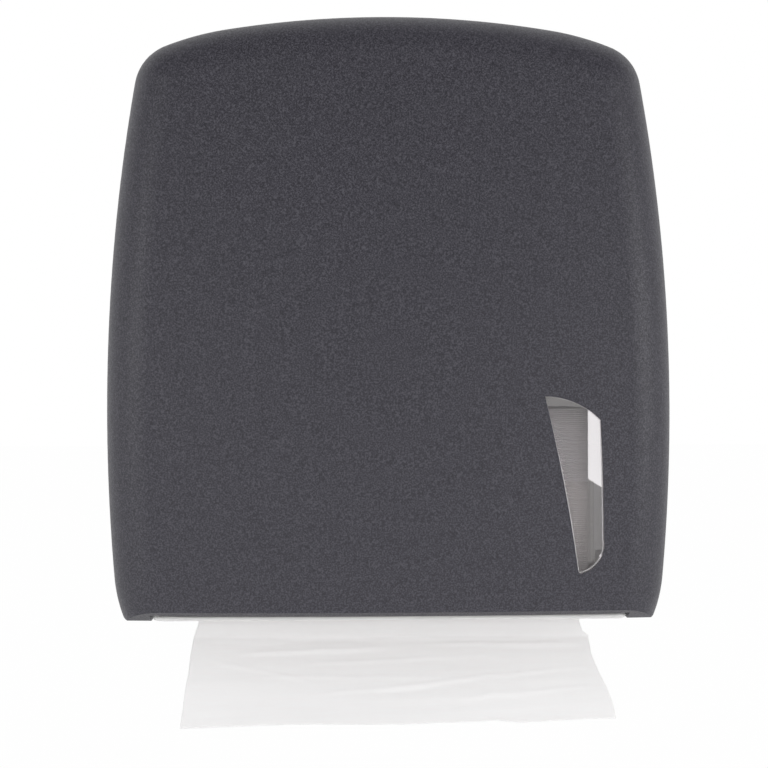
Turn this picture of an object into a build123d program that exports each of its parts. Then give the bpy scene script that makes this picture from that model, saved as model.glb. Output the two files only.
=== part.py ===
from build123d import *

import os
from math import asin, cos, hypot, radians, sin, sqrt, tan

# Folded paper towel dispenser for a wall.
# Frame: +Z up, the front faces -Y, the wall is the plane y = 0. The origin is the centre of the
# wall screw pattern, level with the middle of the cover. All sizes are in millimetres.

# ---- cover ---------------------------------------------------------------------------------
COVER_WIDTH = 330.0
COVER_HEIGHT = 353.0
COVER_DEPTH = 135.0          # from the wall to the crown of the front
COVER_WALL = 2.8
REAR_GAP = 1.0               # between the cover's rear edge and the wall
SIDE_RADIUS = 1232.0         # bow of each side, seen from the front
WIDEST_RISE = 116.5          # height of the widest point above the bottom
CROWN_RADIUS = 634.0         # top edge
CROWN_HALF = 95.0            # half the length of the top edge's flat bow
SHOULDER_RADIUS = 170.0
CORNER_RADIUS = 29.0
LOWER_RADIUS = 82.0          # lower end of each side
LOWER_RISE = 24.0            # where the lower end starts, above the bottom
BOTTOM_CORNER = 5.5
FACE_RADIUS = 1500.0         # the front is part of a large ball
FACE_RISE = 155.5            # height of the crown of the front above the bottom
EDGE_ROLL = 28.0             # rounding from the front into the top and the sides
UNDERSIDE_DEPTH = 13.1       # front part of the underside, which slopes
UNDERSIDE_SLOPE = 25.0       # its fall towards the rear, in degrees
LIP_RISE = 3.4               # front lip above the two bottom ears
LIP_THICKNESS = 2.8
LIP_DEPTH = 3.0              # lip's shelf, behind the skin
NOTCH_FILLET = 3.0
REAR_OPENING_RISE = 4.0      # the cover is open behind the hinge, up to this far above its axis

# ---- window --------------------------------------------------------------------------------
# Outline as (distance inwards from the cover's widest side, height above the bottom).
WINDOW_TOP_LEFT = (77.1, 130.1)
WINDOW_TOP_BOW = (63.1, 127.8)
WINDOW_TOP_RIGHT = (44.6, 116.4)
WINDOW_RIGHT_BOW = (43.1, 79.8)
WINDOW_RIGHT_END = (42.4, 47.6)
WINDOW_CORNER_BOW = (45.8, 34.0)
WINDOW_BOTTOM_RIGHT = (56.2, 27.8)
WINDOW_BOTTOM_LEFT = (57.3, 28.7)
WINDOW_LEFT_BOW = (66.9, 84.5)
LENS_RECESS = 0.4            # lens face below the cover's face
LENS_EDGE_GAP = 0.2
LENS_SEAT_GAP = 0.15
LENS_FLANGE = 6.0
LENS_THICKNESS = 2.0
STAKE_COUNT = 8
STAKE_RADIUS = 1.2
STAKE_HEAD_RADIUS = 2.2
STAKE_HEAD = 1.0
STAKE_OFFSET = 3.2           # from the window's edge
STAKE_HEAD_GAP = 0.3

# ---- hinge ---------------------------------------------------------------------------------
HINGE_CORNER = 13.0          # round of the cover's lower rear corner, about the hinge axis
FIT = 0.05                   # radial clearance of pins, screws and bores
PIN_RADIUS = 3.0
PIN_HEAD_RADIUS = 5.0
PIN_HEAD = 2.0
PIN_HEAD_GAP = 0.1
COVER_BOSS = 7.5             # length of the cover's hinge boss
COVER_BOSS_RADIUS = 7.0
BOSS_FLOOR = 3.0             # closed end of the boss's bore
LUG_THICKNESS = 5.0
LUG_RADIUS = 7.0
LUG_GAP = 0.5
LUG_ROOT = 50.0              # height of the lug above the axis
LUG_STEP = 17.0              # where the lug meets the back plate, above the axis
LUG_BEVEL = 3.0
EAR_MARGIN = 5.2             # from the lug's inner face to the notch in the cover's front

# ---- back plate ----------------------------------------------------------------------------
PLATE_GAP = 1.5              # between the cover's inside and the plate's edge
PLATE_STANDOFF = 4.0
PLATE_THICKNESS = 3.0
RIM_DEPTH = 10.0
RIM_THICKNESS = 2.5
PLATE_NOTCH_RISE = 14.5      # plate's outer lower corners end this far above the hinge axis
PLATE_NOTCH_CORNER = 1.0
SCREW_SPACING_X = 200.0
SCREW_SPACING_Z = 230.0
WALL_HOLE_RADIUS = 2.75
WALL_BOSS_RADIUS = 9.0
SPINE_WIDTH = 44.0
SPINE_HEIGHT = 120.0
APERTURE_WIDTH = 12.0
APERTURE_SIDE = 22.0         # from the aperture to the cover's widest side
APERTURE_BOTTOM_RISE = 68.4  # outer end of the lower edge, above the cover's bottom
APERTURE_SLANT = 7.3         # inner end of the lower edge above its outer end
APERTURE_TOP_DROP = 66.5
APERTURE_CORNER = 2.5
RIB_POSITIONS = (-76.0, -30.0, 30.0, 76.0)
RIB_WIDTH = 2.5
RIB_REACH = 4.0              # ribs that the towels lean on, forward of the plate
RIB_TOP_DROP = 76.5
RIB_FLANGE_GAP = 2.0

# ---- exit floor and basket -----------------------------------------------------------------
FLOOR_GAP = 1.2              # floor to the cover's ears
FLOOR_THICKNESS = 2.5
FLOOR_RISE = 0.6             # floor's underside above the cover's bottom
FLOOR_CORNER = 8.0
FLOOR_FRONT_MARGIN = 1.5     # floor ahead of the basket
SLOT_END_GAP = 3.5           # the slot runs this far past the towels' sides
SLOT_WIDTH = 16.0
SLOT_EDGE_ROUND = 1.0
FLANGE_HEIGHT = 22.0
FLANGE_THICKNESS = 2.5
FLANGE_SCREWS_X = (-100.0, -40.0, 40.0, 100.0)
FLANGE_SCREW_RISE = 12.0
BASKET_WALL = 2.2
BASKET_RISE = 80.0           # top of the basket above the cover's bottom
BASKET_CORNER = 8.0
BASKET_REAR_GAP = 3.0
BASKET_POST_RADIUS = 4.0
BASKET_POST_HEIGHT = 6.0
BASKET_POST_OFFSET = 5.6     # from the basket's side to the post's centre
BASKET_POST_INSET = 16.0     # from the towels' front and rear to the posts
POST_HOLE_FLOOR = 0.5        # blind end of the post's hole above the floor
TAB_HALF = 6.0
TAB_THICKNESS = 2.2

# ---- towels --------------------------------------------------------------------------------
STACK_SIDE_ROOM = 49.5       # from the towels' sides to the cover's widest side
STACK_FRONT_ROOM = 25.0      # from the towels' front to the crown of the cover
STACK_HEIGHT = 119.6
STACK_SIDE_GAP = 2.0
STACK_FRONT_GAP = 1.5
STACK_REAR_GAP = 1.0
STACK_FLOOR_GAP = 0.3
TOWEL_THICKNESS = 1.2
TOWEL_SPREAD = 2.0           # the hanging towel's sides reach this far past the stack's
TOWEL_NECK = (6.0, 8.6)      # forward of the slot's middle, below the floor's underside
TOWEL_CREASE = (8.0, 16.8)
TOWEL_END = (85.0, 53.5)

# ---- lock ----------------------------------------------------------------------------------
LOCK_SETBACK = 26.0          # lock axis from the wall
LOCK_BODY_RADIUS = 9.0
LOCK_BODY_LENGTH = 25.0      # below the top of the cover
LOCK_FLANGE_RADIUS = 11.5
LOCK_FLANGE = 1.2
LOCK_FLANGE_ROUND = 0.7
LOCK_NUT_FLATS = 24.0
LOCK_NUT_THICKNESS = 4.0
LOCK_SEAT_GAP = 0.3
BARREL_RADIUS = 6.5
BARREL_PROUD = 0.4           # barrel above the flange's top
BARREL_BELOW = 1.5           # barrel below the body
KEY_SLOT = (1.6, 8.0, 9.0)   # width, length, depth
TAIL_WIDTH = 5.0             # square tail that turns the cam
WASHER_RADIUS = 7.5
WASHER_THICKNESS = 0.8
STOP_FINGER = (3.0, 2.0)     # width, reach past the washer
CAM_THICKNESS = 2.0
CAM_WIDTH = 9.0
CAM_REACH = 17.0
CAM_CORNER = 2.0
CAM_SCREW_RADIUS = 1.5
CAM_SCREW_LENGTH = 8.0
CAM_SCREW_HEAD = (3.9, 1.6)  # radius, height
KEEPER_GAP = 0.5             # locked cam to the keeper's post
KEEPER_INNER = 11.0
KEEPER_OUTER = 19.0
KEEPER_THICKNESS = 2.5
KEEPER_ARM_DROP = 1.5        # cam to the keeper's arm
KEEPER_POST_ABOVE = 2.0      # post above the cam
KEEPER_BASE_HEIGHT = 34.0
KEEPER_SCREW_DROPS = (10.0, 26.0)

# ---- screws --------------------------------------------------------------------------------
SCREW_RADIUS = 1.75
SCREW_HEAD_RADIUS = 3.4
SCREW_HEAD = 2.0
SCREW_LENGTH = 8.0
SCREW_BOSS_RADIUS = 5.0
SCREW_RECESS = (0.8, 3.2, 1.0)   # cross recess: width, length, depth
SMALL_SCREW_RADIUS = 1.5
SMALL_SCREW_HEAD_RADIUS = 2.8
SMALL_SCREW_HEAD = 1.8
SMALL_SCREW_LENGTH = 6.0

# ---- places that follow from the sizes above ------------------------------------------------
TOP = COVER_HEIGHT / 2
BOTTOM = -COVER_HEIGHT / 2
PAST = 60.0                  # long cuts reach this far past what they cut
CUT = 1.0                    # short cuts and joins reach this far
HINGE_Y = -(REAR_GAP + HINGE_CORNER)
HINGE_Z = BOTTOM + HINGE_CORNER
PLATE_FRONT = -(PLATE_STANDOFF + PLATE_THICKNESS)
PLATE_INSET = COVER_WALL + PLATE_GAP
LIP_Z = BOTTOM + LIP_RISE
FLOOR_Z = BOTTOM + FLOOR_RISE
FLOOR_TOP = FLOOR_Z + FLOOR_THICKNESS
STACK_REAR = PLATE_FRONT - RIB_REACH - STACK_REAR_GAP
STACK_FRONT = STACK_FRONT_ROOM - COVER_DEPTH
STACK_HALF = COVER_WIDTH / 2 - STACK_SIDE_ROOM
STACK_BOTTOM = FLOOR_TOP + STACK_FLOOR_GAP
BASKET_HALF = STACK_HALF + STACK_SIDE_GAP + BASKET_WALL
BASKET_FRONT = STACK_FRONT - STACK_FRONT_GAP - BASKET_WALL
BASKET_TOP = BOTTOM + BASKET_RISE
FLOOR_FRONT = BASKET_FRONT - FLOOR_FRONT_MARGIN
SLOT_Y = (STACK_REAR + STACK_FRONT) / 2
BALL_CENTRE = (0, FACE_RADIUS - COVER_DEPTH, BOTTOM + FACE_RISE)


# ---- outline of the cover, as (x, z) points and arcs ------------------------------------------
def mirrored(point):
    return (-point[0], point[1])


def on_circle(centre, radius, towards):
    """Point of a circle that lies in the direction of another point."""
    across, up = towards[0] - centre[0], towards[1] - centre[1]
    reach = hypot(across, up)
    return (centre[0] + radius * across / reach, centre[1] + radius * up / reach)


def short_arc(centre, radius, start, end):
    """Arc about a centre, from the direction of one point to the direction of another."""
    first, last = on_circle(centre, radius, start), on_circle(centre, radius, end)
    chord_middle = ((first[0] + last[0]) / 2, (first[1] + last[1]) / 2)
    return ThreePointArc(first, on_circle(centre, radius, chord_middle), last)


def outer_meeting(first, first_reach, second, second_reach):
    """The upper right of the two points at given distances from two centres."""
    apart = hypot(second[0] - first[0], second[1] - first[1])
    along = (first_reach**2 - second_reach**2 + apart**2) / (2 * apart)
    aside = sqrt(first_reach**2 - along**2)
    ex, ez = (second[0] - first[0]) / apart, (second[1] - first[1]) / apart
    meetings = [(first[0] + along * ex - side * aside * ez, first[1] + along * ez + side * aside * ex)
                for side in (1, -1)]
    return max(meetings, key=sum)


CROWN_CENTRE = (0.0, TOP - CROWN_RADIUS)
CROWN_ANGLE = asin(CROWN_HALF / CROWN_RADIUS)
CROWN_END = (CROWN_HALF, CROWN_CENTRE[1] + CROWN_RADIUS * cos(CROWN_ANGLE))
SHOULDER_CENTRE = on_circle(CROWN_CENTRE, CROWN_RADIUS - SHOULDER_RADIUS, CROWN_END)
SIDE_CENTRE = (COVER_WIDTH / 2 - SIDE_RADIUS, BOTTOM + WIDEST_RISE)
CORNER_CENTRE = outer_meeting(SHOULDER_CENTRE, SHOULDER_RADIUS - CORNER_RADIUS,
                              SIDE_CENTRE, SIDE_RADIUS - CORNER_RADIUS)


def right_of(centre, radius, z, inset):
    """Where a circle offset inwards crosses a height, to the right of its centre."""
    return centre[0] + sqrt((radius - inset) ** 2 - (z - centre[1]) ** 2)


KNEE = (right_of(SIDE_CENTRE, SIDE_RADIUS, BOTTOM + LOWER_RISE, 0.0), BOTTOM + LOWER_RISE)
LOWER_CENTRE = on_circle(SIDE_CENTRE, SIDE_RADIUS - LOWER_RADIUS, KNEE)


def side_x(z, inset=0.0):
    """Half the width of the cover's outline at a height, for an outline offset inwards."""
    if z > KNEE[1]:
        return right_of(SIDE_CENTRE, SIDE_RADIUS, z, inset)
    return right_of(LOWER_CENTRE, LOWER_RADIUS, z, inset)


def cover_outline(inset, bottom):
    """Front view of the cover offset inwards, closed by a straight line at the bottom."""
    crown_end = on_circle(CROWN_CENTRE, CROWN_RADIUS - inset, CROWN_END)
    side_end = (side_x(bottom, inset), bottom)
    shoulder = (SHOULDER_CENTRE, SHOULDER_RADIUS - inset, crown_end, CORNER_CENTRE)
    corner = (CORNER_CENTRE, CORNER_RADIUS - inset,
              on_circle(SHOULDER_CENTRE, SHOULDER_RADIUS, CORNER_CENTRE),
              on_circle(SIDE_CENTRE, SIDE_RADIUS, CORNER_CENTRE))
    side = (SIDE_CENTRE, SIDE_RADIUS - inset, CORNER_CENTRE, KNEE)
    lower = (LOWER_CENTRE, LOWER_RADIUS - inset, KNEE, side_end)
    right = [short_arc(*span) for span in (shoulder, corner, side, lower)]
    left = [short_arc(mirrored(centre), radius, mirrored(end), mirrored(start))
            for centre, radius, start, end in (lower, side, corner, shoulder)]
    crown = short_arc(CROWN_CENTRE, CROWN_RADIUS - inset, mirrored(crown_end), crown_end)
    return make_face(Wire([crown] + right + [Line(side_end, mirrored(side_end))] + left))


# ---- solids from outlines and simple shapes ---------------------------------------------------
def slab(face, rear, front):
    """A front-view outline made solid between two depths."""
    return extrude(Plane.XZ.offset(-rear) * face, amount=rear - front)


def block(x, y, z):
    """Box between pairs of limits."""
    size = [limits[1] - limits[0] for limits in (x, y, z)]
    return Pos(*[sum(limits) / 2 for limits in (x, y, z)]) * Box(*size)


def rod_x(radius, start, end, y, z):
    return Pos((start + end) / 2, y, z) * Rot(0, 90, 0) * Cylinder(radius, abs(end - start))


def rod_y(radius, start, end, x, z):
    return Pos(x, (start + end) / 2, z) * Rot(90, 0, 0) * Cylinder(radius, abs(end - start))


def rod_z(radius, start, end, x, y):
    return Pos(x, y, (start + end) / 2) * Cylinder(radius, abs(end - start))


def rounded_rectangle(x, z, radius):
    """Front-view rectangle between limits, with round corners."""
    width, height = x[1] - x[0], z[1] - z[0]
    return Pos((x[0] + x[1]) / 2, (z[0] + z[1]) / 2) * RectangleRounded(width, height, radius)


def face_y(x, z, inset=0.0):
    """Depth of the ball-shaped front, offset inwards, at a place."""
    radius = FACE_RADIUS - inset
    return BALL_CENTRE[1] - sqrt(radius**2 - x**2 - (z - BALL_CENTRE[2]) ** 2)


def ball(inset):
    return Pos(*BALL_CENTRE) * Sphere(FACE_RADIUS - inset)


# ---- cover -----------------------------------------------------------------------------------
CORNER_OVERLAP = 0.15        # the bottom corner's round crosses the side by this much
SIDE_MARGIN = 10.0
TALL_MARGIN = 12.0           # the sides' rounding runs this far below the bottom


def bottom_limit(inset):
    """Front-view face that gives the cover its flat bottom and its two bottom corners."""
    drop = BOTTOM + BOTTOM_CORNER - LOWER_CENTRE[1]
    reach = sqrt((LOWER_RADIUS - BOTTOM_CORNER) ** 2 - drop**2)
    centre = (LOWER_CENTRE[0] + reach + CORNER_OVERLAP, BOTTOM + BOTTOM_CORNER)
    radius = BOTTOM_CORNER - inset
    lowest = (centre[0], centre[1] - radius)
    outer = on_circle(centre, radius, (centre[0] + reach, centre[1] + drop))
    wide, high = COVER_WIDTH / 2 + SIDE_MARGIN, TOP + SIDE_MARGIN
    beside = (wide, outer[1] - (wide - outer[0]) * reach / drop)
    above = (wide, high)
    right = [Line(above, beside), Line(beside, outer), short_arc(centre, radius, outer, lowest)]
    left = [short_arc(mirrored(centre), radius, mirrored(lowest), mirrored(outer)),
            Line(mirrored(outer), mirrored(beside)), Line(mirrored(beside), mirrored(above))]
    return make_face(Wire(right + [Line(lowest, mirrored(lowest))] + left + [Line(mirrored(above), above)]))


def underside(inset):
    """What lies below the sloped front part of the underside, turned about the front's upright axis."""
    slope = radians(UNDERSIDE_SLOPE)
    heel = BALL_CENTRE[1] + sqrt(FACE_RADIUS**2 - FACE_RISE**2) - UNDERSIDE_DEPTH - inset * sin(slope)
    rear = heel - (inset * cos(slope) + PAST) / tan(slope)
    front = heel + UNDERSIDE_DEPTH + PAST / tan(slope)
    low, high = BOTTOM - PAST, BOTTOM + inset * cos(slope) + (front - heel) * tan(slope)
    section = make_face(Wire([Line((rear, low), (front, high)), Line((front, high), (front, low)),
                              Line((front, low), (rear, low))]))
    return revolve(Plane.YZ * section, Axis((0, BALL_CENTRE[1], 0), (0, 0, 1)))


def cover_body(inset, rear):
    """Everything inside the cover's skin, offset inwards and cut off flat at the rear."""
    tall = slab(cover_outline(inset, BOTTOM - TALL_MARGIN), rear, -COVER_DEPTH - PAST) & ball(inset)
    front = tall.faces().sort_by(Axis.Y)[0]
    rolled = fillet(front.edges().sort_by(Axis.Z)[1:], EDGE_ROLL - inset)
    return (rolled & slab(bottom_limit(inset), PAST, -COVER_DEPTH - PAST)) - underside(inset)


def window_outline(grow=0.0):
    """Front view of the window, grown outwards."""
    places = [(COVER_WIDTH / 2 - inwards, BOTTOM + rise) for inwards, rise in (
        WINDOW_TOP_LEFT, WINDOW_TOP_BOW, WINDOW_TOP_RIGHT, WINDOW_RIGHT_BOW, WINDOW_RIGHT_END,
        WINDOW_CORNER_BOW, WINDOW_BOTTOM_RIGHT, WINDOW_BOTTOM_LEFT, WINDOW_LEFT_BOW)]
    top_left, top, top_right, right, right_end, corner, low_right, low_left, left = places
    face = make_face(Wire([ThreePointArc(top_left, top, top_right),
                           ThreePointArc(top_right, right, right_end),
                           ThreePointArc(right_end, corner, low_right),
                           Line(low_right, low_left),
                           ThreePointArc(low_left, left, top_left)]))
    return offset(face, amount=grow, kind=Kind.ARC) if grow else face


def window_prism(grow):
    return slab(window_outline(grow), PAST - COVER_DEPTH, -COVER_DEPTH - PAST)


LENS_OUTER = COVER_WALL + LENS_SEAT_GAP
LENS_INNER = LENS_OUTER + LENS_THICKNESS


def stake_places():
    """Where the cover's heat-formed posts stand around the window, as (x, z)."""
    rim = window_outline(STAKE_OFFSET).wire()
    return [(point.X, point.Y) for point in (rim @ (index / STAKE_COUNT) for index in range(STAKE_COUNT))]


def make_cover():
    outer = cover_body(0.0, -REAR_GAP)
    cover = outer - cover_body(COVER_WALL, REAR_GAP)

    # The floor is open between the ears, behind a lip that runs along the front.
    notch = rounded_rectangle((-NOTCH_HALF, NOTCH_HALF), (LIP_Z - 2 * PAST, LIP_Z), NOTCH_FILLET)
    cover -= slab(notch, PAST, -COVER_DEPTH - PAST)
    lip_top = LIP_Z + LIP_THICKNESS
    lip_rear = FLOOR_FRONT - FLOOR_GAP
    opening = block((-NOTCH_HALF, NOTCH_HALF), (-COVER_DEPTH, PAST), (BOTTOM - PAST, lip_top))
    cover -= opening & ball(COVER_WALL)
    cover -= block((-NOTCH_HALF, NOTCH_HALF), (lip_rear, PAST), (BOTTOM - PAST, lip_top + COVER_WALL))
    lip = (ball(0.0) - ball(COVER_WALL + LIP_DEPTH)) & outer
    cover += lip & block((-NOTCH_HALF, NOTCH_HALF), (-COVER_DEPTH, lip_rear), (LIP_Z, lip_top))

    # The lower rear turns about the hinge axis: round the corner and open the floor behind it.
    corner = block((-COVER_WIDTH, COVER_WIDTH), (HINGE_Y, PAST), (BOTTOM - PAST, HINGE_Z))
    cover -= corner - rod_x(HINGE_CORNER, -COVER_WIDTH, COVER_WIDTH, HINGE_Y, HINGE_Z)
    opening_height = (BOTTOM - PAST, HINGE_Z + REAR_OPENING_RISE)
    cover -= block((-BOSS_INNER - CUT, BOSS_INNER + CUT), (HINGE_Y, PAST), opening_height)

    for side in (-1, 1):
        boss = rod_x(COVER_BOSS_RADIUS, side * BOSS_INNER, side * COVER_WIDTH / 2, HINGE_Y, HINGE_Z)
        cover += boss & outer
        cover -= rod_x(PIN_RADIUS + FIT, side * (BOSS_INNER - CUT), side * PIN_END, HINGE_Y, HINGE_Z)

    cover -= rod_z(LOCK_BODY_RADIUS + FIT, TOP - LOCK_BODY_LENGTH, TOP + PAST, 0, -LOCK_SETBACK)

    cover -= window_prism(0.0)
    for x, z in stake_places():
        head = face_y(x, z, LENS_INNER) + STAKE_HEAD_GAP
        cover += rod_y(STAKE_RADIUS, face_y(x, z, COVER_WALL / 2), head + STAKE_HEAD / 2, x, z)
        cover += rod_y(STAKE_HEAD_RADIUS, head, head + STAKE_HEAD, x, z)
    return cover


def make_lens():
    plug = window_prism(-LENS_EDGE_GAP) & (ball(LENS_RECESS) - ball(LENS_INNER))
    flange = window_prism(LENS_FLANGE) & (ball(LENS_OUTER) - ball(LENS_INNER))
    lens = plug + flange
    for x, z in stake_places():
        lens -= rod_y(STAKE_RADIUS + LENS_SEAT_GAP, -COVER_DEPTH, PAST - COVER_DEPTH, x, z)
    return lens


# ---- hinge -----------------------------------------------------------------------------------
BOSS_OUTER = side_x(HINGE_Z) - BOSS_FLOOR
BOSS_INNER = side_x(HINGE_Z, COVER_WALL) - COVER_BOSS
PIN_END = BOSS_OUTER - PIN_HEAD_GAP
LUG_OUTER = BOSS_INNER - LUG_GAP
LUG_INNER = LUG_OUTER - LUG_THICKNESS
NOTCH_HALF = LUG_INNER - EAR_MARGIN
FLOOR_HALF = NOTCH_HALF - FLOOR_GAP


def make_pin(side):
    head_outer = LUG_INNER - PIN_HEAD_GAP
    shaft = rod_x(PIN_RADIUS, side * head_outer, side * (PIN_END - PIN_HEAD_GAP), HINGE_Y, HINGE_Z)
    head = rod_x(PIN_HEAD_RADIUS, side * (head_outer - PIN_HEAD), side * head_outer, HINGE_Y, HINGE_Z)
    return shaft + head


def hinge_lug(side):
    """Lug of the back plate: an eye on the hinge axis under a tapered root."""
    rear, front = HINGE_Y + LUG_RADIUS, HINGE_Y - LUG_RADIUS
    joined, step, top = PLATE_FRONT + PLATE_THICKNESS / 2, HINGE_Z + LUG_STEP, HINGE_Z + LUG_ROOT
    root = make_face(Polyline((rear, HINGE_Z), (rear, step - LUG_BEVEL), (joined, step), (joined, top),
                              (PLATE_FRONT - LUG_BEVEL, top), (front, step), (front, HINGE_Z), close=True))
    inner, outer = sorted((side * LUG_INNER, side * LUG_OUTER))
    lug = extrude(Plane.YZ.offset(inner) * root, amount=outer - inner)
    return lug + rod_x(LUG_RADIUS, inner, outer, HINGE_Y, HINGE_Z)


# ---- back plate --------------------------------------------------------------------------------
def plate_face(inset):
    """Front view of the back plate, offset inwards, without its two lower outer corners."""
    face = cover_outline(PLATE_INSET + inset, FLOOR_Z + inset)
    corner_top = HINGE_Z + PLATE_NOTCH_RISE + inset
    for side in (-1, 1):
        limits = sorted((side * (FLOOR_HALF - inset), side * COVER_WIDTH))
        face -= rounded_rectangle(limits, (BOTTOM - PAST, corner_top), PLATE_NOTCH_CORNER)
    return face


def wall_screw_places():
    return [(x * SCREW_SPACING_X / 2, z * SCREW_SPACING_Z / 2) for x in (-1, 1) for z in (-1, 1)]


LOCK_BOTTOM = TOP - LOCK_BODY_LENGTH
BARREL_BOTTOM = LOCK_BOTTOM - BARREL_BELOW
CAM_TOP = BARREL_BOTTOM - WASHER_THICKNESS
CAM_BOTTOM = CAM_TOP - CAM_THICKNESS
KEEPER_ARM_TOP = CAM_BOTTOM - KEEPER_ARM_DROP
KEEPER_MIDDLE = (KEEPER_INNER + KEEPER_OUTER) / 2


def fixing_places():
    """Screws that go into the back plate from the front, as (x, z): floor flange, then keeper."""
    flange = [(x, FLOOR_Z + FLANGE_SCREW_RISE) for x in FLANGE_SCREWS_X]
    keeper = [(KEEPER_MIDDLE, KEEPER_ARM_TOP - drop) for drop in KEEPER_SCREW_DROPS]
    return flange, keeper


def aperture(side):
    """Front view of a sight slot beside the towels, whose lower edge falls outwards."""
    outer = COVER_WIDTH / 2 - APERTURE_SIDE
    inner = outer - APERTURE_WIDTH
    low, high = BOTTOM + APERTURE_BOTTOM_RISE, TOP - APERTURE_TOP_DROP
    corners = [(outer, low), (outer, high), (inner, high), (inner, low + APERTURE_SLANT)]
    face = make_face(Polyline(*[(side * x, z) for x, z in corners], close=True))
    return fillet(face.vertices(), APERTURE_CORNER)


def make_back_plate():
    plate = slab(plate_face(0.0), -PLATE_STANDOFF, PLATE_FRONT)
    plate += slab(plate_face(0.0) - plate_face(RIM_THICKNESS), 0.0, -RIM_DEPTH)
    seat_height = (BOTTOM, FLOOR_Z + FLANGE_HEIGHT + CUT)
    plate -= block((-FLOOR_HALF - CUT, FLOOR_HALF + CUT), (-PAST, PLATE_FRONT), seat_height)
    spine_height = (-SPINE_HEIGHT / 2, SPINE_HEIGHT / 2)
    plate += block((-SPINE_WIDTH / 2, SPINE_WIDTH / 2), (PLATE_FRONT, 0), spine_height)
    rib_depth = (PLATE_FRONT - RIB_REACH, PLATE_FRONT + CUT)
    rib_height = (FLOOR_Z + FLANGE_HEIGHT + RIB_FLANGE_GAP, TOP - RIB_TOP_DROP)
    for x in RIB_POSITIONS:
        plate += block((x - RIB_WIDTH / 2, x + RIB_WIDTH / 2), rib_depth, rib_height)

    for side in (-1, 1):
        plate -= slab(aperture(side), PAST, -PAST)
        plate += hinge_lug(side)
        bore = (side * (LUG_INNER - CUT), side * (LUG_OUTER + CUT))
        plate -= rod_x(PIN_RADIUS + FIT, *bore, HINGE_Y, HINGE_Z)

    for x, z in wall_screw_places():
        plate += rod_y(WALL_BOSS_RADIUS, 0, PLATE_FRONT - CUT, x, z)
        plate -= rod_y(WALL_HOLE_RADIUS, PAST, -PAST, x, z)
    flange, keeper = fixing_places()
    for x, z in flange + keeper:
        plate += rod_y(SCREW_BOSS_RADIUS, 0, PLATE_FRONT, x, z)
        plate -= rod_y(SCREW_RADIUS + FIT, PAST, -PAST, x, z)
    return plate


# ---- exit floor, basket and their screws ----------------------------------------------------------
def post_places():
    """Posts of the floor that hold the basket, as (x, y)."""
    x = BASKET_HALF + BASKET_POST_OFFSET
    depths = (STACK_REAR - BASKET_POST_INSET, STACK_FRONT + BASKET_POST_INSET)
    return [(side * x, y) for side in (-1, 1) for y in depths]


def make_floor():
    depth = PLATE_FRONT - FLOOR_FRONT
    plan = Pos(0, (PLATE_FRONT + FLOOR_FRONT) / 2, FLOOR_Z) * Rectangle(2 * FLOOR_HALF, depth)
    floor = extrude(plan, amount=FLOOR_THICKNESS)
    floor = fillet(floor.edges().filter_by(Axis.Z).sort_by(Axis.Y)[:2], FLOOR_CORNER)
    slot = Pos(0, SLOT_Y, FLOOR_Z) * SlotOverall(2 * (STACK_HALF + SLOT_END_GAP), SLOT_WIDTH)
    floor -= extrude(slot, amount=FLOOR_THICKNESS)
    reach = SLOT_WIDTH / 2 + SLOT_EDGE_ROUND
    lips = floor.edges().filter_by_position(Axis.Y, SLOT_Y - reach, SLOT_Y + reach)
    floor = fillet(lips.filter_by(Axis.Z, reverse=True), SLOT_EDGE_ROUND)
    flange_depth = (PLATE_FRONT - FLANGE_THICKNESS, PLATE_FRONT)
    floor += block((-FLOOR_HALF, FLOOR_HALF), flange_depth, (FLOOR_Z, FLOOR_Z + FLANGE_HEIGHT))
    for x, y in post_places():
        floor += rod_z(BASKET_POST_RADIUS, FLOOR_TOP - CUT, FLOOR_TOP + BASKET_POST_HEIGHT, x, y)
        floor -= rod_z(SMALL_SCREW_RADIUS + FIT, FLOOR_TOP + POST_HOLE_FLOOR, FLOOR_TOP + PAST, x, y)
    for x, z in fixing_places()[0]:
        floor -= rod_y(SCREW_RADIUS + FIT, flange_depth[1] + CUT, flange_depth[0] - CUT, x, z)
    return floor


def make_basket():
    rear = PLATE_FRONT - FLANGE_THICKNESS - BASKET_REAR_GAP
    depth = rear - BASKET_FRONT
    outside = RectangleRounded(2 * BASKET_HALF, 2 * depth, BASKET_CORNER)
    inside = RectangleRounded(2 * (BASKET_HALF - BASKET_WALL), 2 * (depth - BASKET_WALL),
                              BASKET_CORNER - BASKET_WALL)
    walls = extrude(Pos(0, rear, FLOOR_TOP) * (outside - inside), amount=BASKET_TOP - FLOOR_TOP)
    basket = walls & block((-COVER_WIDTH, COVER_WIDTH), (BASKET_FRONT - CUT, rear), (FLOOR_TOP, BASKET_TOP))
    seat = FLOOR_TOP + BASKET_POST_HEIGHT
    for x, y in post_places():
        side = 1 if x > 0 else -1
        limits = sorted((side * (BASKET_HALF - BASKET_WALL / 2), x + side * BASKET_POST_RADIUS))
        basket += block(limits, (y - TAB_HALF, y + TAB_HALF), (seat, seat + TAB_THICKNESS))
        basket -= rod_z(SMALL_SCREW_RADIUS + FIT, seat - CUT, seat + TAB_THICKNESS + CUT, x, y)
    return basket


def cross_recess(width, length, depth):
    """Recess of a cross-head screw, cut down from z = 0."""
    return Pos(0, 0, -depth / 2) * (Box(width, length, depth) + Box(length, width, depth))


def screw(radius, length, head_radius, head):
    """Pan-head screw that points down, its head standing on z = 0."""
    top = Pos(0, 0, head / 2) * Cylinder(head_radius, head)
    top = fillet(top.edges().sort_by(Axis.Z)[-1:], head / 2)
    shank = Pos(0, 0, -length / 2) * Cylinder(radius, length)
    width, span, depth = SCREW_RECESS
    return top + shank - Pos(0, 0, head) * cross_recess(width, span, depth)


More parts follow.
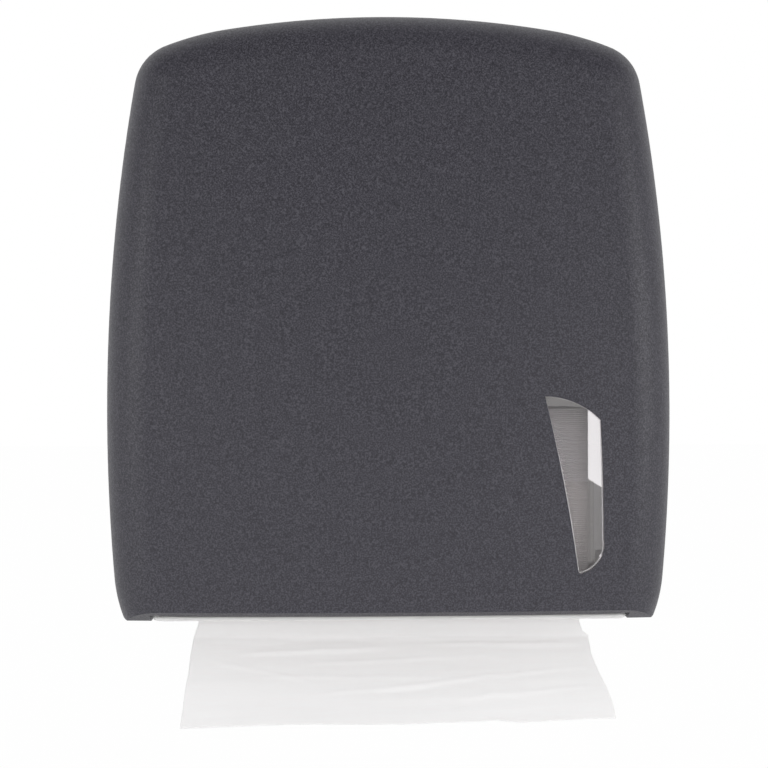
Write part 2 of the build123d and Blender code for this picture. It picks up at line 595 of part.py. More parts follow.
def plate_screw(x, y, z):
    """Screw driven towards the wall, its head's underside at a depth."""
    return Pos(x, y, z) * Rot(90, 0, 0) * screw(SCREW_RADIUS, SCREW_LENGTH, SCREW_HEAD_RADIUS, SCREW_HEAD)


def make_floor_screws():
    return [plate_screw(x, PLATE_FRONT - FLANGE_THICKNESS, z) for x, z in fixing_places()[0]]


def make_keeper_screws():
    return [plate_screw(x, PLATE_FRONT - KEEPER_THICKNESS, z) for x, z in fixing_places()[1]]


def make_basket_screws():
    seat = FLOOR_TOP + BASKET_POST_HEIGHT + TAB_THICKNESS
    one = screw(SMALL_SCREW_RADIUS, SMALL_SCREW_LENGTH, SMALL_SCREW_HEAD_RADIUS, SMALL_SCREW_HEAD)
    return [Pos(x, y, seat) * one for x, y in post_places()]


# ---- towels ----------------------------------------------------------------------------------
def make_stack():
    height = (STACK_BOTTOM, STACK_BOTTOM + STACK_HEIGHT)
    return block((-STACK_HALF, STACK_HALF), (STACK_FRONT, STACK_REAR), height)


def make_hanging_towel():
    """The next towel: down through the slot, then bent forward at its crease."""
    bends = (TOWEL_NECK, TOWEL_CREASE, TOWEL_END)
    start = (SLOT_Y, FLOOR_TOP)
    path = [(SLOT_Y - ahead, FLOOR_Z - below) for ahead, below in bends]
    half = TOWEL_THICKNESS / 2
    rear = [(start[0] + half, start[1])] + [(y + half, z - half) for y, z in path]
    front = [(start[0] - half, start[1])] + [(y - half, z + half) for y, z in path]
    section = make_face(Polyline(*front, *reversed(rear), close=True))
    side = STACK_HALF + TOWEL_SPREAD
    return extrude(Plane.YZ.offset(-side) * section, amount=2 * side)


# ---- lock ------------------------------------------------------------------------------------
def at_lock(shape):
    return Pos(0, -LOCK_SETBACK, 0) * shape


def make_lock_body():
    body = rod_z(LOCK_BODY_RADIUS, LOCK_BOTTOM, TOP + LOCK_FLANGE, 0, 0)
    flange = rod_z(LOCK_FLANGE_RADIUS, TOP, TOP + LOCK_FLANGE, 0, 0)
    flange = fillet(flange.edges().sort_by(Axis.Z)[-1:], LOCK_FLANGE_ROUND)
    return at_lock(body + flange - rod_z(BARREL_RADIUS + FIT, LOCK_BOTTOM - CUT, TOP + PAST, 0, 0))


def make_lock_nut():
    high = TOP - COVER_WALL - LOCK_SEAT_GAP
    hexagon = Rot(0, 0, 30) * RegularPolygon(LOCK_NUT_FLATS / 2, 6, major_radius=False)
    nut = extrude(Pos(0, 0, high - LOCK_NUT_THICKNESS) * hexagon, amount=LOCK_NUT_THICKNESS)
    return at_lock(nut - rod_z(LOCK_BODY_RADIUS + FIT, high - PAST, high + CUT, 0, 0))


def square(width, start, end):
    return block((-width / 2, width / 2), (-width / 2, width / 2), (start, end))


def make_lock_barrel():
    high = TOP + LOCK_FLANGE + BARREL_PROUD
    barrel = rod_z(BARREL_RADIUS, BARREL_BOTTOM, high, 0, 0)
    width, length, depth = KEY_SLOT
    barrel -= Pos(0, 0, high - depth / 2) * Box(width, length, depth)
    barrel += square(TAIL_WIDTH, CAM_BOTTOM, BARREL_BOTTOM)
    screw_hole = (CAM_BOTTOM - CUT, CAM_BOTTOM + CAM_SCREW_LENGTH + CUT)
    return at_lock(barrel - rod_z(CAM_SCREW_RADIUS + FIT, *screw_hole, 0, 0))


def make_stop_washer():
    """Washer on the barrel's square tail, whose finger sets the quarter turn."""
    washer = rod_z(WASHER_RADIUS, CAM_TOP, BARREL_BOTTOM, 0, 0)
    width, reach = STOP_FINGER
    washer += block((-width / 2, width / 2), (0, WASHER_RADIUS + reach), (CAM_TOP, BARREL_BOTTOM))
    return at_lock(washer - square(TAIL_WIDTH + 2 * FIT, CAM_TOP - CUT, BARREL_BOTTOM + CUT))


def make_lock_cam():
    """Flat cam, pointing to the wall when the lock is open."""
    arm = block((-CAM_WIDTH / 2, CAM_WIDTH / 2), (0, CAM_REACH), (CAM_BOTTOM, CAM_TOP))
    arm = fillet(arm.edges().filter_by(Axis.Z).sort_by(Axis.Y)[-2:], CAM_CORNER)
    cam = arm + rod_z(BARREL_RADIUS, CAM_BOTTOM, CAM_TOP, 0, 0)
    return at_lock(cam - square(TAIL_WIDTH + 2 * FIT, CAM_BOTTOM - CUT, CAM_TOP + CUT))


def make_cam_screw():
    """Screw driven upwards into the barrel's tail, under the cam."""
    head_radius, head = CAM_SCREW_HEAD
    one = screw(CAM_SCREW_RADIUS, CAM_SCREW_LENGTH, head_radius, head)
    return at_lock(Pos(0, 0, CAM_BOTTOM) * Rot(180, 0, 0) * one)


def make_lock_keeper():
    """Bracket on the back plate whose upturned post holds the locked cam."""
    post_rear = -LOCK_SETBACK - CAM_WIDTH / 2 - KEEPER_GAP
    across = (KEEPER_INNER, KEEPER_OUTER)
    base_front = PLATE_FRONT - KEEPER_THICKNESS
    arm_bottom = KEEPER_ARM_TOP - KEEPER_THICKNESS
    keeper = block(across, (base_front, PLATE_FRONT), (KEEPER_ARM_TOP - KEEPER_BASE_HEIGHT, KEEPER_ARM_TOP))
    keeper += block(across, (post_rear - KEEPER_THICKNESS, PLATE_FRONT), (arm_bottom, KEEPER_ARM_TOP))
    post_top = CAM_TOP + KEEPER_POST_ABOVE
    keeper += block(across, (post_rear - KEEPER_THICKNESS, post_rear), (arm_bottom, post_top))
    for x, z in fixing_places()[1]:
        keeper -= rod_y(SCREW_RADIUS + FIT, PLATE_FRONT + CUT, base_front - CUT, x, z)
    return keeper


# ---- write every piece -----------------------------------------------------------------------
def as_one(solids):
    return Compound(children=solids)


NODES = {
    "front_cover": make_cover(),
    "window_lens": make_lens(),
    "hinge_pin_left": make_pin(-1),
    "hinge_pin_right": make_pin(1),
    "back_plate": make_back_plate(),
    "exit_floor": make_floor(),
    "floor_screws": as_one(make_floor_screws()),
    "towel_basket": make_basket(),
    "basket_screws": as_one(make_basket_screws()),
    "towel_stack": make_stack(),
    "hanging_towel": make_hanging_towel(),
    "lock_body": make_lock_body(),
    "lock_nut": make_lock_nut(),
    "lock_barrel": make_lock_barrel(),
    "stop_washer": make_stop_washer(),
    "lock_cam": make_lock_cam(),
    "cam_screw": make_cam_screw(),
    "lock_keeper": make_lock_keeper(),
    "keeper_screws": as_one(make_keeper_screws()),
}

os.makedirs("parts", exist_ok=True)
for name, shape in NODES.items():
    export_step(shape, os.path.join("parts", name + ".step"))
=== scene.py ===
import math
import random

import bmesh
import bpy
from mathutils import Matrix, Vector, noise


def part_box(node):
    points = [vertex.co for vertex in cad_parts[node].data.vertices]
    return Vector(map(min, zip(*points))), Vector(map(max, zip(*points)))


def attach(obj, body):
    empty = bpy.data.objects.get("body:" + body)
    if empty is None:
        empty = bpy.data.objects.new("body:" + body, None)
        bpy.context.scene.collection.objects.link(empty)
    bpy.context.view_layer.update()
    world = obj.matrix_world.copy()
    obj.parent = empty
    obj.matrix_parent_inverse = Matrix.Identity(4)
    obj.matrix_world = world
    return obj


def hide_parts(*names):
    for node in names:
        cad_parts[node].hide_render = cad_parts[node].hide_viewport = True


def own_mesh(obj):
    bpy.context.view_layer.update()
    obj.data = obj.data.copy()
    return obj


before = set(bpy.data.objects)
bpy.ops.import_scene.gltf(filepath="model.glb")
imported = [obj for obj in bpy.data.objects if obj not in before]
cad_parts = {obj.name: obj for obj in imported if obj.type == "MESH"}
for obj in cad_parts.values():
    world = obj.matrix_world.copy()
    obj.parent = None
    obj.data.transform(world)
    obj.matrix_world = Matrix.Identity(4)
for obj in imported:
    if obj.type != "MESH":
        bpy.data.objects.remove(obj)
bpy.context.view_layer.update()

MM = 0.001


# ---- materials -----------------------------------------------------------------------------------
def new_material(name, **sockets):
    """A Principled material with the given plain socket values."""
    material = bpy.data.materials.new(name)
    material.use_nodes = True
    shader = material.node_tree.nodes["Principled BSDF"]
    for socket, value in sockets.items():
        shader.inputs[socket.replace("_", " ")].default_value = value
    return material, material.node_tree, shader


def place(tree, stretch=(1, 1, 1)):
    """Position in the object's own frame, in metres, squeezed along each axis."""
    where = tree.nodes.new("ShaderNodeTexCoord")
    mapping = tree.nodes.new("ShaderNodeMapping")
    mapping.inputs["Scale"].default_value = stretch
    tree.links.new(where.outputs["Object"], mapping.inputs["Vector"])
    return mapping.outputs["Vector"]


def cloud(tree, size, detail=2.0, stretch=(1, 1, 1)):
    """Soft noise from 0 to 1, whose patches are about this many metres across."""
    node = tree.nodes.new("ShaderNodeTexNoise")
    node.inputs["Scale"].default_value = 1 / size
    node.inputs["Detail"].default_value = detail
    tree.links.new(place(tree, stretch), node.inputs["Vector"])
    return node.outputs["Fac"]


def pebbles(tree, size):
    """Distance to the middle of the nearest grain, for a moulded texture."""
    node = tree.nodes.new("ShaderNodeTexVoronoi")
    node.inputs["Scale"].default_value = 1 / size
    tree.links.new(place(tree), node.inputs["Vector"])
    return node.outputs["Distance"]


def blended(tree, first, second, share):
    """Weighted sum of two values."""
    node = tree.nodes.new("ShaderNodeMix")
    node.inputs["Factor"].default_value = share
    tree.links.new(first, node.inputs["A"])
    tree.links.new(second, node.inputs["B"])
    return node.outputs["Result"]


def graded(tree, value, stops, socket):
    """Drives a socket from a value through a ramp of (position, grey or colour) stops."""
    ramp = tree.nodes.new("ShaderNodeValToRGB")
    elements = ramp.color_ramp.elements
    while len(elements) < len(stops):
        elements.new(0.5)
    for element, (position, colour) in zip(elements, stops):
        element.position = position
        element.color = (*colour, 1) if isinstance(colour, tuple) else (colour, colour, colour, 1)
    tree.links.new(value, ramp.inputs["Fac"])
    tree.links.new(ramp.outputs["Color"], socket)


def relief(tree, shader, height, depth):
    """Bumps the surface by a value, this many metres deep."""
    bump = tree.nodes.new("ShaderNodeBump")
    bump.inputs["Distance"].default_value = depth
    tree.links.new(height, bump.inputs["Height"])
    tree.links.new(bump.outputs["Normal"], shader.inputs["Normal"])


def dark_plastic():
    """Charcoal moulded plastic in a pebbled grain, with fine light specks painted into its colour as glints
    of the grain.
    """
    material, tree, shader = new_material("cover_plastic", Specular_IOR_Level=0.45)
    # Light specks in the base colour: painted glints of the grain's gloss.
    painted_glints = blended(tree, cloud(tree, 0.9 * MM, 3.0), cloud(tree, 2.2 * MM, 1.0), 0.12)
    graded(tree, painted_glints, [(0.36, (0.020, 0.019, 0.026)), (0.5, (0.035, 0.033, 0.044)),
                         (0.64, (0.066, 0.064, 0.078))], shader.inputs["Base Color"])
    graded(tree, cloud(tree, 1.2 * MM), [(0.3, 0.40), (0.7, 0.56)], shader.inputs["Roughness"])
    relief(tree, shader, blended(tree, pebbles(tree, 0.8 * MM), cloud(tree, 1.5 * MM), 0.5), 0.06 * MM)
    return material


def light_plastic(name, shadow, light, **sockets):
    """Pale moulded plastic with a fine spark-eroded grain; the window's bead uses it as a painted highlight.
    """
    material, tree, shader = new_material(name, **sockets)
    graded(tree, cloud(tree, 25 * MM, 4.0), [(0.3, shadow), (0.7, light)], shader.inputs["Base Color"])
    graded(tree, cloud(tree, 1.5 * MM), [(0.3, 0.38), (0.7, 0.50)], shader.inputs["Roughness"])
    relief(tree, shader, pebbles(tree, 0.7 * MM), 0.03 * MM)
    return material


def clear_plastic():
    """Thin clear plastic: a smoked, unbent view through it, under a glossy coat."""
    material, tree, shader = new_material("clear_lens", Transmission_Weight=0.93, IOR=1.0, Alpha=0.64,
                                          Coat_Weight=1.0, Coat_IOR=1.47)
    graded(tree, cloud(tree, 40 * MM), [(0.3, (0.71, 0.675, 0.69)), (0.7, (0.76, 0.725, 0.745))],
           shader.inputs["Base Color"])
    graded(tree, cloud(tree, 6 * MM, 4.0), [(0.35, 0.02), (0.7, 0.05)], shader.inputs["Roughness"])
    graded(tree, cloud(tree, 4 * MM, 4.0), [(0.35, 0.03), (0.7, 0.12)], shader.inputs["Coat Roughness"])
    relief(tree, shader, cloud(tree, 30 * MM, 1.0), 0.05 * MM)
    return material


def clouded_plastic():
    """Clear plastic of the holder, faintly clouded, with soft scuffs in its gloss."""
    material, tree, shader = new_material("clouded_plastic", Transmission_Weight=0.9, IOR=1.0, Alpha=0.45,
                                          Coat_Weight=0.6, Coat_IOR=1.45)
    graded(tree, cloud(tree, 30 * MM, 3.0), [(0.3, (0.93, 0.91, 0.86)), (0.7, (0.96, 0.94, 0.90))],
           shader.inputs["Base Color"])
    graded(tree, cloud(tree, 2 * MM), [(0.3, 0.04), (0.7, 0.10)], shader.inputs["Roughness"])
    graded(tree, cloud(tree, 3 * MM), [(0.3, 0.10), (0.7, 0.25)], shader.inputs["Coat Roughness"])
    relief(tree, shader, cloud(tree, 3 * MM), 0.02 * MM)
    return material


def metal(name, dull, bright, roughness, stretch, depth):
    """Bare or plated metal, whose fine marks run along the axes that are squeezed least."""
    material, tree, shader = new_material(name, Metallic=1.0)
    marks = cloud(tree, 1.2 * MM, 4.0, stretch)
    graded(tree, blended(tree, marks, cloud(tree, 7 * MM, 3.0), 0.5), [(0.3, dull), (0.7, bright)],
           shader.inputs["Base Color"])
    graded(tree, marks, [(0.3, roughness), (0.7, roughness + 0.16)], shader.inputs["Roughness"])
    relief(tree, shader, marks, depth)
    return material


def paper(name, shadow, light, stretch):
    """Soft crimped tissue: fine creping across the sheet and mottled pulp between the two colours given,
    which for the stack are painted darker as shade.
    """
    material, tree, shader = new_material(name, Sheen_Weight=0.15, Sheen_Roughness=0.6,
                                          Subsurface_Weight=0.8, Subsurface_Scale=4 * MM,
                                          Subsurface_Radius=(1, 1, 1))
    pulp = blended(tree, cloud(tree, 5 * MM, 5.0, stretch), cloud(tree, 0.7 * MM, 2.0), 0.3)
    graded(tree, pulp, [(0.3, shadow), (0.7, light)], shader.inputs["Base Color"])
    graded(tree, cloud(tree, 1.1 * MM), [(0.3, 0.82), (0.7, 0.95)], shader.inputs["Roughness"])
    crimp = blended(tree, cloud(tree, 0.9 * MM, 3.0, stretch), pebbles(tree, 0.6 * MM), 0.35)
    relief(tree, shader, crimp, 0.06 * MM)
    return material


cover_plastic = dark_plastic()
white_plastic = light_plastic("white_plastic", (0.71, 0.71, 0.70), (0.75, 0.75, 0.74),
                              Subsurface_Weight=1.0, Subsurface_Scale=8 * MM, Subsurface_Radius=(1, 1, 1))
pin_plastic = light_plastic("pin_plastic", (0.50, 0.50, 0.49), (0.58, 0.58, 0.57), Coat_Weight=0.1)
lens_plastic = clear_plastic()
basket_plastic = clouded_plastic()
zinc = metal("zinc_steel", (0.42, 0.42, 0.41), (0.62, 0.62, 0.60), 0.30, (1, 1, 1), 0.01 * MM)
nickel = metal("lock_metal", (0.50, 0.49, 0.47), (0.66, 0.65, 0.63), 0.20, (1, 1, 12), 0.008 * MM)
towel_paper = paper("towel_paper", (0.98, 0.935, 0.94), (0.99, 0.96, 0.965), (0.35, 2.0, 2.0))
# The stack is the same white tissue painted darker, as painted shade inside the cover, with its pulp drawn
# out into streaks along the folds.
stack_paper = paper("stack_paper", (0.62, 0.60, 0.60), (0.80, 0.78, 0.785), (0.04, 0.5, 3.0))
# Pale bead colour: a painted highlight along the window's edge.
highlight_bead_material = light_plastic("lens_bead_painted_highlight", (0.86, 0.85, 0.86), (0.94, 0.93, 0.94),
                             Subsurface_Weight=0.5, Subsurface_Scale=1 * MM, Subsurface_Radius=(1, 1, 1))

FINISHES = {
    "front_cover": cover_plastic, "window_lens": lens_plastic, "back_plate": white_plastic,
    "exit_floor": white_plastic, "towel_basket": basket_plastic, "hinge_pin_left": pin_plastic,
    "hinge_pin_right": pin_plastic, "lock_body": nickel, "lock_barrel": nickel, "lock_nut": zinc,
    "stop_washer": zinc, "lock_cam": zinc, "cam_screw": zinc, "lock_keeper": zinc,
    "keeper_screws": zinc, "floor_screws": zinc, "basket_screws": zinc,
}
for node, finish in FINISHES.items():
    for material_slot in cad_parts[node].material_slots:
        material_slot.material = finish


# ---- mesh helpers ----------------------------------------------------------------------------------
def mesh_object(name, points, faces, material):
    """A smooth-shaded object of these points and faces, put into the scene."""
    mesh = bpy.data.meshes.new(name)
    mesh.from_pydata(points, [], faces)
    mesh.materials.append(material)
    mesh.polygons.foreach_set("use_smooth", [True] * len(mesh.polygons))
    mesh.update()
    piece = bpy.data.objects.new(name, mesh)
    bpy.context.scene.collection.objects.link(piece)
    return piece


def grid_faces(rows, columns):
    """Quads over rows of points, each row as long as the next."""
    return [(r * columns + c, r * columns + c + 1, (r + 1) * columns + c + 1, (r + 1) * columns + c)
            for r in range(rows - 1) for c in range(columns - 1)]


def tube_faces(stations, ring, closed=False):
    """Quads round a tube of rings of points; a closed tube's last ring meets its first."""
    return [(s * ring + i, s * ring + (i + 1) % ring,
             (s + 1) % stations * ring + (i + 1) % ring, (s + 1) % stations * ring + i)
            for s in range(stations if closed else stations - 1) for i in range(ring)]


def smooth_step(value, start, end):
    """0 up to the start, 1 from the end on, and a smooth rise between them."""
    share = min(max((value - start) / (end - start), 0.0), 1.0)
    return share * share * (3 - 2 * share)


def from_table(table, place_at, column=1):
    """Value at a place in a table of rows that start with their place."""
    for before, after in zip(table, table[1:]):
        if place_at <= after[0] or after is table[-1]:
            share = (place_at - before[0]) / (after[0] - before[0])
            return before[column] + (after[column] - before[column]) * share


def along(points, distance):
    """Point at a distance along a bent line."""
    for start, end in zip(points, points[1:]):
        span = (end - start).length
        if distance <= span or end is points[-1]:
            return start.lerp(end, distance / span)
        distance -= span


# ---- pale bead along the window's edge: a painted highlight -------------------------------------
BEAD_THIN, BEAD_THICK = 0.12 * MM, 0.30 * MM   # radius at the window's top and below its middle
BEAD_GROWTH = (0.1, 0.6)     # shares of the window's height, from its top, between which the radius grows
BEAD_UNEVEN = 0.3            # share by which the radius varies along the edge
BEAD_UNEVEN_SCALE = 90       # of the noise that varies it, per metre
BEAD_STEP = 0.8 * MM         # distance between the bead's cross-sections
BEAD_POINTS = 8              # points round each cross-section
LENS_WELD = 0.001 * MM       # corners of the lens that are closer than this are one
LOOKS_FORWARD = -0.8         # y of a face's normal, up to which it counts as a front face
LOOKS_SIDEWAYS = 0.3         # size of that y, up to which it counts as a side face
TALL_LOOP = 50 * MM          # an edge that is less tall than this is not the plug's


def lens_edge():
    """Closed line round the front of the clear plug, as points in order."""
    shape = bmesh.new()
    shape.from_mesh(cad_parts["window_lens"].data)
    bmesh.ops.remove_doubles(shape, verts=shape.verts, dist=LENS_WELD)
    links = {}
    for edge in shape.edges:
        facing = sorted(face.normal.y for face in edge.link_faces)
        if len(facing) == 2 and facing[0] < LOOKS_FORWARD and abs(facing[1]) < LOOKS_SIDEWAYS:
            a, b = edge.verts
            links.setdefault(a, []).append(b)
            links.setdefault(b, []).append(a)
    loops = []
    while links:
        here = min(links, key=lambda corner: corner.index)
        loop = []
        while here in links:
            loop.append(here.co.copy())
            onward = [corner for corner in links.pop(here) if corner in links]
            here = onward[0] if onward else None
        loops.append(loop)
    shape.free()
    tall = [loop for loop in loops if max(p.z for p in loop) - min(p.z for p in loop) > TALL_LOOP]
    # Of the tall ones, the plug's edge is the one that reaches least far to the right.
    return min(tall, key=lambda loop: max(point.x for point in loop))


def make_lens_bead():
    """Thin pale bead inside the front edge of the clear plug, thicker towards the bottom: a painted
    highlight of the lens's edge.
    """
    edge = lens_edge()
    edge.append(edge[0])
    total = sum((b - a).length for a, b in zip(edge, edge[1:]))
    count = round(total / BEAD_STEP)
    spots = [along(edge, total * step / count) for step in range(count)]
    middle = sum(spots, Vector()) / count
    top, bottom = max(spot.z for spot in spots), min(spot.z for spot in spots)
    points = []
    for step, spot in enumerate(spots):
        run = (spots[(step + 1) % count] - spots[step - 1]).normalized()
        side = run.cross(Vector((0, -1, 0))).normalized()
        if side.dot(middle - spot) < 0:
            side.negate()
        share = smooth_step((top - spot.z) / (top - bottom), *BEAD_GROWTH)
        uneven = 1 + BEAD_UNEVEN * noise.noise(spot * BEAD_UNEVEN_SCALE)
        radius = (BEAD_THIN + (BEAD_THICK - BEAD_THIN) * share) * uneven
        for turn in range(BEAD_POINTS):
            angle = 2 * math.pi * turn / BEAD_POINTS
            inwards = side * (radius * (1 + math.cos(angle)))
            points.append(spot + inwards + Vector((0, -radius * math.sin(angle), 0)))
    bead = mesh_object("window_bead_painted_highlight", points, tube_faces(count, BEAD_POINTS, closed=True), highlight_bead_material)
    shape = bmesh.new()
    shape.from_mesh(bead.data)
    bmesh.ops.recalc_face_normals(shape, faces=shape.faces)
    shape.to_mesh(bead.data)
    shape.free()
    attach(bead, "cover")


# ---- stack of folded towels ----------------------------------------------------------------------
FOLD_PITCH = 1.15 * MM       # height that one folded layer takes in the stack
LAYER_FILL = 0.955           # share of the pitch that the paper fills
LAYER_STATIONS = 28          # cross-sections along each layer
FOLD_POINTS = 5              # points round each fold
FOLD_WANDER = 0.35 * MM      # how far a fold's front stands in or out
FOLD_WAVE = 0.6              # share of that wander by which a fold's front waves along its length
FOLD_WAVE_SCALE = (22, 1.7)  # of that wave's noise: per metre of length, and per layer
TOP_ARCH = 1.6 * MM          # the top towels bow up towards their ends
ARCH_MIDDLE, ARCH_ENDS = 0.35, 0.65   # share of that bow that is there in the middle, and what the ends add
TOP_SAG = 0.35 * MM          # how far the top towels wave up and down
TOP_SAG_SCALE = (12, 0.12)   # of that wave's noise: per metre of length, and per layer
LIFT_POWER = 4               # the higher it is, the fewer of the top towels bow and wave
ARCH_POWER = 1.5             # the higher it is, the nearer to the ends the bow starts
STACK_SEED = 7


def fold_section(depth, thickness):
    """Closed outline of one folded layer, as (forward, up) from its middle."""
    radius, half = thickness / 2, depth / 2 - thickness / 2
    points = []
    for centre, start in ((half, 90), (-half, 270)):
        for step in range(FOLD_POINTS):
            angle = math.radians(start - 180 * step / (FOLD_POINTS - 1))
            points.append((centre + radius * math.cos(angle), radius * math.sin(angle)))
    return points


def towel_layer(low, high, index, count, rng):
    """Points and faces of one folded towel between the stack's corners."""
    pitch = (high.z - low.z - TOP_ARCH) / count
    inset = rng.uniform(0.1, 1.0) * FOLD_WANDER
    depth = high.y - low.y - 2 * FOLD_WANDER - inset
    section = fold_section(depth, pitch * LAYER_FILL)
    middle_y = (low.y + high.y) / 2 + rng.uniform(-0.5, 0.5) * FOLD_WANDER
    ends = (low.x + rng.uniform(0.0, 1.0) * FOLD_WANDER, high.x - rng.uniform(0.0, 1.0) * FOLD_WANDER)
    lift = ((index + 0.5) / count) ** LIFT_POWER
    points = []
    for station in range(LAYER_STATIONS):
        share = station / (LAYER_STATIONS - 1)
        x = ends[0] + (ends[1] - ends[0]) * share
        wave_place = Vector((x * FOLD_WAVE_SCALE[0], index * FOLD_WAVE_SCALE[1], 0.0))
        wander = noise.noise(wave_place) * FOLD_WANDER * FOLD_WAVE
        arch = TOP_ARCH * lift * (ARCH_MIDDLE + ARCH_ENDS * abs(2 * share - 1) ** ARCH_POWER)
        sag = noise.noise(Vector((x * TOP_SAG_SCALE[0], index * TOP_SAG_SCALE[1], 5.0))) * TOP_SAG
        z = low.z + pitch * (index + 0.5) + arch + sag * lift
        for forward, up in section:
            points.append((x, middle_y - forward + wander, z + up))
    ring = len(section)
    faces = tube_faces(LAYER_STATIONS, ring)
    faces.append(tuple(reversed(range(ring))))
    faces.append(tuple((LAYER_STATIONS - 1) * ring + i for i in range(ring)))
    return points, faces


def make_stack():
    """The folded towels, one layer on the other, as one object."""
    low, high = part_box("towel_stack")
    count = round((high.z - low.z - TOP_ARCH) / FOLD_PITCH)
    rng = random.Random(STACK_SEED)
    points, faces = [], []
    for index in range(count):
        layer_points, layer_faces = towel_layer(low, high, index, count, rng)
        faces += [tuple(len(points) + corner for corner in face) for face in layer_faces]
        points += layer_points
    stack = mesh_object("folded_towels", points, faces, stack_paper)
    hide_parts("towel_stack")
    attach(stack, "dispenser")


# ---- hanging towel ---------------------------------------------------------------------------------
TOWEL_ROWS, TOWEL_COLUMNS = 130, 260
TOWEL_PLY = 0.35 * MM
NODE_INSET = 0.6 * MM        # half the thickness of the CAD node, whose middle the sheet follows
NECK_BEND = (6 * MM, 8.6 * MM)        # forward of the slot and below the exit floor, as on the CAD node
CREASE_BEND = (8 * MM, 16.8 * MM)
PATH_SPARE = 5 * MM          # the path runs on this far past the CAD node's end
BEND_REACH = 1.2 * MM        # the path's bends are rounded over this distance either way
FREE_RUN = (8 * MM, 26 * MM)          # from flat on its path to freely waving, along the towel
BROAD_WAVE, FINE_WAVE = 1.0 * MM, 0.35 * MM
BROAD_WAVE_SCALE = (8, 28)   # of its noise, per metre across and along the towel
FINE_WAVE_SCALE = (20, 40, 90)        # the same, with a slant between the two
END_CURL = 1.6 * MM
END_CURL_SCALE = 7           # of its noise, per metre across
END_CURL_FROM = 0.75         # share of the towel's length where the curl starts
RAGGED = 0.4 * MM            # how uneven the end is
RAGGED_SCALE = 30            # of its noise, per width
# The towel's two edges in the photograph, as (millimetres below the exit floor, left x, right x).
EDGES = [(0.0, -114.2, 115.4), (9.2, -115.2, 116.6), (13.9, -116.9, 118.2), (16.3, -117.6, 121.8),
         (18.2, -117.8, 121.3), (25.4, -118.3, 120.9), (32.4, -118.2, 122.7), (39.2, -118.7, 125.1),
         (45.9, -118.6, 126.3), (60.0, -118.8, 126.4)]
# How much longer the towel is than the CAD node's path, as (share across, millimetres).
END_LINE = [(0.0, 3.6), (0.1, 2.4), (0.27, 1.0), (0.5, 0.9), (0.64, -1.2), (0.73, -3.2), (0.78, -1.0),
            (0.93, -3.4), (1.0, -3.0)]
# Creases as (left end, right end) in (share across, share along), and how far they stand out in millimetres.
CREASES = [((0.0, 0.192), (1.0, 0.178), 0.6), ((0.02, 0.22), (0.24, 0.225), 0.5),
           ((0.16, 0.165), (0.62, 0.205), 0.5), ((0.40, 0.215), (0.98, 0.20), 0.5),
           ((0.13, 0.34), (0.50, 0.30), 0.6),
           ((0.60, 0.27), (0.97, 0.285), 0.45), ((0.30, 0.44), (0.74, 0.40), 0.4),
           ((0.16, 0.56), (0.62, 0.60), 0.3), ((0.46, 0.70), (0.95, 0.52), 0.45),
           ((0.34, 0.72), (0.60, 0.66), 0.3), ((0.66, 0.80), (0.97, 0.70), 0.35),
           ((0.05, 0.40), (0.30, 0.62), 0.3)]
CREASE_WIDTH = 0.022         # in shares of the towel's length
CREASE_WANDER = 0.012        # how far a crease strays from its straight line, in the same shares
CREASE_WANDER_SCALE = (14, 31)        # of that noise: per width, and from crease to crease
CREASE_START = (-0.1, 0.12)  # shares of a crease's run over which it appears
CREASE_STOP = (0.8, 1.1)     # and over which it fades
HOLLOW_DEPTH = 0.5           # hollow below a crease, as a share of its height
HOLLOW_WIDTH = 1.6           # the hollow's width and how far below it lies, in widths of the crease


def crease_height(across, down):
    """How far the creases push the sheet out at a place, both as shares."""
    total = 0.0
    for (x0, y0), (x1, y1), size in CREASES:
        share = (across - x0) / (x1 - x0)
        if CREASE_START[0] < share < CREASE_STOP[1]:
            stray = noise.noise(Vector((across * CREASE_WANDER_SCALE[0], y0 * CREASE_WANDER_SCALE[1], 2.0)))
            bend = y0 + (y1 - y0) * share + CREASE_WANDER * stray
            fade = smooth_step(share, *CREASE_START) * (1 - smooth_step(share, *CREASE_STOP))
            off = (down - bend) / CREASE_WIDTH
            hollow = HOLLOW_DEPTH * math.exp(-(off / HOLLOW_WIDTH - 1.0) ** 2)
            total += size * MM * fade * (math.exp(-off * off) - hollow)
    return total


def stand_out(x, distance, across, down):
    """How far the sheet stands out from its path, by its place in metres and in shares."""
    wave = BROAD_WAVE * noise.noise(Vector((x * BROAD_WAVE_SCALE[0], distance * BROAD_WAVE_SCALE[1], 3.0)))
    side, slant, onward = FINE_WAVE_SCALE
    wave += FINE_WAVE * noise.noise(Vector((x * side + distance * slant, distance * onward, 9.0)))
    wave += crease_height(across, down)
    curl = END_CURL * noise.noise(Vector((x * END_CURL_SCALE, 0.0, 12.0)))
    curl *= smooth_step(down, END_CURL_FROM, 1.0)
    return (wave + curl) * smooth_step(distance, *FREE_RUN)


